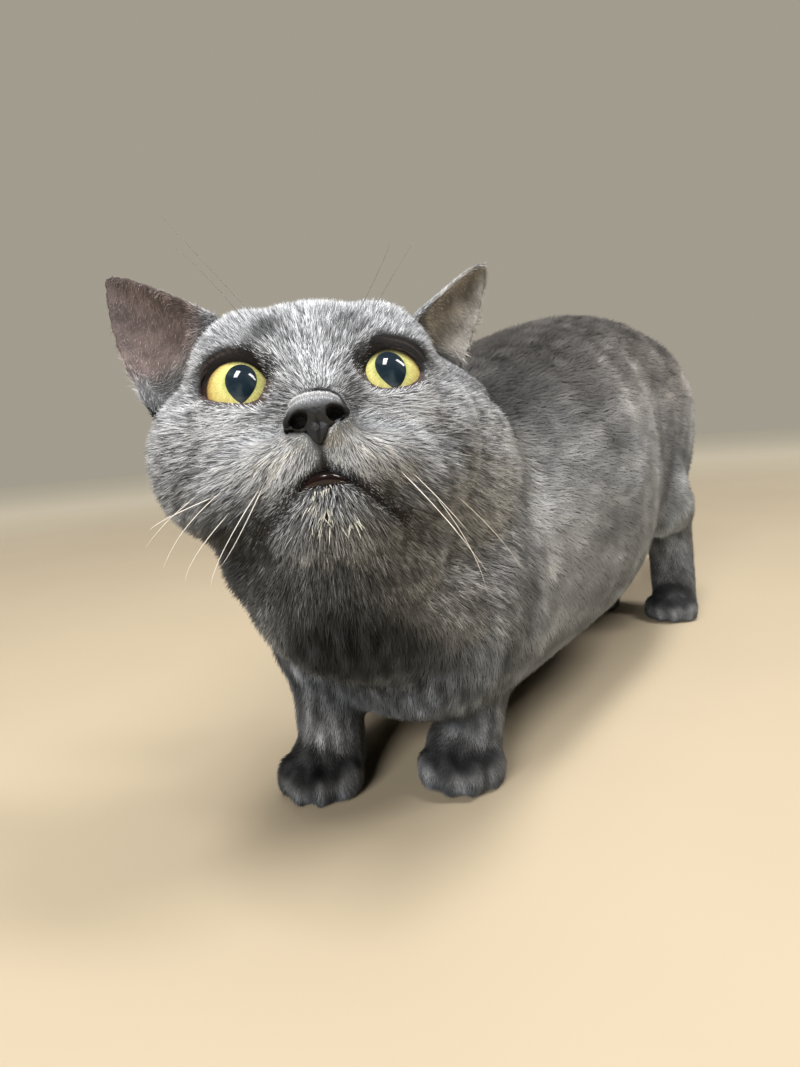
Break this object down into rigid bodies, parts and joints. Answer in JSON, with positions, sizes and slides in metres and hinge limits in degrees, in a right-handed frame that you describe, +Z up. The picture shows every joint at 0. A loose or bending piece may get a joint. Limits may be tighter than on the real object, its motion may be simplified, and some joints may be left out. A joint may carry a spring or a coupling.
{
  "type": "domestic shorthair cat model",
  "caption": "Life-size still model of a heavy blue-grey short-haired cat with yellow eyes, standing low on all four paws, head turned and raised.",
  "frame": {"origin": "on the floor, under the middle of the whole bounding box", "axes": "+Z up; the trunk runs along Y with the chest towards -Y; +X is the cat's left side"},
  "size_m": [0.1448, 0.5672, 0.2105],
  "materials": {
    "coat": "short dense fur, matte",
    "face_coat": "short silvery fur, matte",
    "ear_skin": "thin skin with fine hair",
    "nose_leather": "pebbled, slightly moist",
    "iris": "clear wet cornea over a yellow iris"
  },
  "bodies": {
    "root": {"head": "face_coat", "lower_jaw": "face_coat", "nose": "nose_leather", "ear_right": "ear_skin", "ear_left": "ear_skin", "eye_right": "iris", "eye_left": "iris", "neck": "coat", "chest": "coat", "belly": "coat", "hips": "coat", "upper_arm_right": "coat", "forearm_right": "coat", "forepaw_right": "coat", "upper_arm_left": "coat", "forearm_left": "coat", "forepaw_left": "coat", "thigh_right": "coat", "shank_right": "coat", "hind_paw_right": "coat", "thigh_left": "coat", "shank_left": "coat", "hind_paw_left": "coat", "tail_base": "coat", "tail_middle": "coat", "tail_tip": "coat"}
  },
  "joints": []
}
